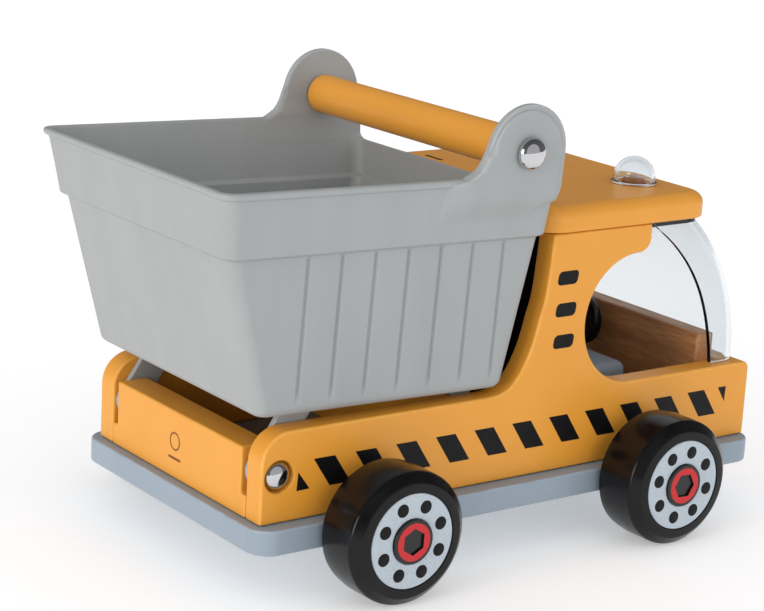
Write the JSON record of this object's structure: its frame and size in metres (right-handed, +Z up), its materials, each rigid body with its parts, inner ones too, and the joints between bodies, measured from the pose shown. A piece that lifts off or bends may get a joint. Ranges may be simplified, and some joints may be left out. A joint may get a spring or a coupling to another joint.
{
  "type": "toy dump truck",
  "caption": "Toy dump truck: painted board cab and chassis, tipping plastic bin with a bar handle, clear windshield and turned wheels on steel axles.",
  "frame": {"origin": "centre of the whole truck's bounding box, at the ground under the wheels", "axes": "+X to the cab, +Y to the truck's left, +Z up"},
  "size_m": [0.325, 0.2182, 0.2156],
  "materials": {
    "orange_paint": "satin orange paint on board",
    "grey_paint": "satin blue-grey paint on board",
    "plain_wood": "bare wood under clear lacquer",
    "black_paint": "gloss black paint on turned wood",
    "black_plastic": "gloss black with a red ring",
    "grey_plastic": "fine moulded texture",
    "pale_plastic": "smooth moulded",
    "amber_plastic": "smooth moulded",
    "clear_plastic": "clear, polished",
    "chrome": "bright plated",
    "steel": "plain turned rod"
  },
  "bodies": {
    "chassis": {"axle_keeper_1": "pale_plastic", "axle_keeper_2": "pale_plastic", "axle_keeper_3": "pale_plastic", "axle_keeper_4": "pale_plastic", "base_board": "grey_paint", "base_screw_1": "steel", "base_screw_2": "steel", "base_screw_3": "steel", "base_screw_4": "steel", "base_screw_5": "steel", "base_screw_6": "steel", "beacon_dome_left": "clear_plastic", "beacon_dome_right": "clear_plastic", "beacon_lamp_left": "amber_plastic", "beacon_lamp_right": "amber_plastic", "bin_rest_board": "orange_paint", "cab_back_board": "black_paint", "cab_roof": "orange_paint", "dash_board": "plain_wood", "hinge_bolt_left": "chrome", "hinge_bolt_right": "chrome", "keeper_screw_1": "steel", "keeper_screw_2": "steel", "keeper_screw_3": "steel", "keeper_screw_4": "steel", "nose_board": "orange_paint", "rear_board": "orange_paint", "seat_block": "grey_paint", "shield_screw_left": "steel", "shield_screw_right": "steel", "side_panel_left": "orange_paint", "side_panel_right": "orange_paint", "steering_peg": "plain_wood", "windshield": "clear_plastic"},
    "tipping_bin": {"bin_shell": "grey_plastic", "handle_dowel": "orange_paint", "handle_screw_right": "chrome", "handle_screw_left": "chrome"},
    "rear_wheelset": {"axle_rear": "steel", "wheel_rear_right": "black_paint", "hub_disc_rear_right": "pale_plastic", "hub_cap_rear_right": "black_plastic", "spacer_rear_right": "pale_plastic", "wheel_rear_left": "black_paint", "hub_disc_rear_left": "pale_plastic", "hub_cap_rear_left": "black_plastic", "spacer_rear_left": "pale_plastic"},
    "front_wheelset": {"axle_front": "steel", "wheel_front_right": "black_paint", "hub_disc_front_right": "pale_plastic", "hub_cap_front_right": "black_plastic", "spacer_front_right": "pale_plastic", "wheel_front_left": "black_paint", "hub_disc_front_left": "pale_plastic", "hub_cap_front_left": "black_plastic", "spacer_front_left": "pale_plastic"},
    "steering": {"steering_wheel": "black_paint"}
  },
  "joints": [
    {"name": "bin_tip", "type": "hinge", "parent": "chassis", "child": "tipping_bin", "pos_m": [-0.1229, 0, 0.0562], "axis": [0, -1, 0], "range_deg": [0, 62]},
    {"name": "rear_axle_turn", "type": "hinge", "parent": "chassis", "child": "rear_wheelset", "pos_m": [-0.0768, 0, 0.031], "axis": [0, 1, 0], "continuous": true},
    {"name": "front_axle_turn", "type": "hinge", "parent": "chassis", "child": "front_wheelset", "pos_m": [0.0844, 0, 0.031], "axis": [0, 1, 0], "continuous": true},
    {"name": "steering_turn", "type": "hinge", "parent": "chassis", "child": "steering", "pos_m": [0.1275, 0.0205, 0.0766], "axis": [1, 0, 0], "continuous": true}
  ]
}
